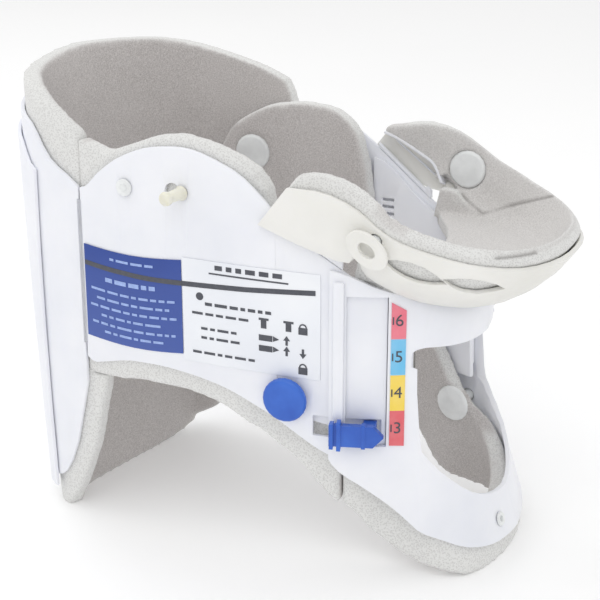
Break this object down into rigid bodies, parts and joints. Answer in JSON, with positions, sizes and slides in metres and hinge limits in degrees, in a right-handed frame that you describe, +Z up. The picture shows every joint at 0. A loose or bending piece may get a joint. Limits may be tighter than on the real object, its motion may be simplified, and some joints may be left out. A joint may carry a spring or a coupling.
{
  "type": "cervical collar",
  "caption": "Adjustable rigid neck collar of thin plastic panels lined with foam, with a chin cup, throat opening, hinged back panel and a front plate that slides to set the height.",
  "frame": {"origin": "on the floor under the centre of the collar's own box, at the smallest height setting, closed", "axes": "+Z up; -Y the way the wearer faces (throat opening and chin); +X the wearer's left, where the closing strap is"},
  "size_m": [0.1002, 0.1868, 0.148],
  "materials": {
    "panel_plastic": "satin moulded polyethylene sheet, slightly bluish white",
    "chin_plastic": "satin moulded plastic, creamy white",
    "grey_foam": "closed-cell foam with a fine grainy skin",
    "rivet_plastic": "smooth translucent grey-white plastic",
    "blue_plastic": "glossy moulded royal blue",
    "blue_label": "printed film, royal blue",
    "clear_label": "clear film with dark grey print",
    "size_label": "printed film in four colours with the size numbers",
    "navy_strap": "hook and loop tape, navy"
  },
  "bodies": {
    "front": {"front_plate": "panel_plastic", "chest_pad": "grey_foam", "near_guide_rail": "panel_plastic", "far_guide_rail": "panel_plastic", "near_rail_spacer": "panel_plastic", "far_rail_spacer": "panel_plastic", "near_rack_bead": "panel_plastic", "far_rack_bead": "panel_plastic", "near_size_scale": "size_label", "far_size_scale": "size_label", "near_chest_rivet": "rivet_plastic", "far_chest_rivet": "rivet_plastic", "front_rivet": "rivet_plastic", "grip_tab": "panel_plastic"},
    "shell": {"near_side_panel": "panel_plastic", "far_side_panel": "panel_plastic", "near_side_pad": "grey_foam", "far_side_pad": "grey_foam", "near_side_rivet": "rivet_plastic", "far_side_rivet": "rivet_plastic", "near_edge_bead": "panel_plastic", "far_edge_bead": "panel_plastic", "near_eyelet": "chin_plastic", "far_eyelet": "chin_plastic", "near_chin_rivet": "rivet_plastic", "far_chin_rivet": "rivet_plastic", "chin_cup": "chin_plastic", "chin_pad": "grey_foam", "tube_hook": "panel_plastic", "sizing_sticker": "blue_label", "instruction_label": "clear_label", "loop_patch": "navy_strap"},
    "back": {"back_panel": "panel_plastic", "back_pad": "grey_foam", "back_stiffener": "panel_plastic", "strap_anchor": "navy_strap"},
    "strap": {"closure_strap": "navy_strap"},
    "near_latch_slide": {"near_latch": "blue_plastic"},
    "far_latch_slide": {"far_latch": "blue_plastic"},
    "near_lock": {"near_safety_lock": "blue_plastic"},
    "far_lock": {"far_safety_lock": "blue_plastic"}
  },
  "joints": [
    {"name": "height_adjust", "type": "slide", "parent": "front", "child": "shell", "axis": [0, 0, 1], "range_m": [0, 0.03675]},
    {"name": "back_hinge", "type": "hinge", "parent": "shell", "child": "back", "pos_m": [-0.03826, 0.05558, 0.0625], "axis": [0, 0, 1], "range_deg": [0, 110]},
    {"name": "strap_peel", "type": "hinge", "parent": "back", "child": "strap", "pos_m": [0.04659, 0.01343, 0.0835], "axis": [0, 0, 1], "range_deg": [0, 90]},
    {"name": "near_latch_in", "type": "slide", "parent": "shell", "child": "near_latch_slide", "axis": [-0.2908, 0.9568, 0], "range_m": [0, 0.0052]},
    {"name": "far_latch_in", "type": "slide", "parent": "shell", "child": "far_latch_slide", "axis": [0.2908, 0.9568, 0], "range_m": [0, 0.0052]},
    {"name": "near_lock_pull", "type": "slide", "parent": "shell", "child": "near_lock", "axis": [-0.9979, -0.0655, 0], "range_m": [0, 0.004]},
    {"name": "far_lock_pull", "type": "slide", "parent": "shell", "child": "far_lock", "axis": [0.9979, -0.0655, 0], "range_m": [0, 0.004]}
  ]
}
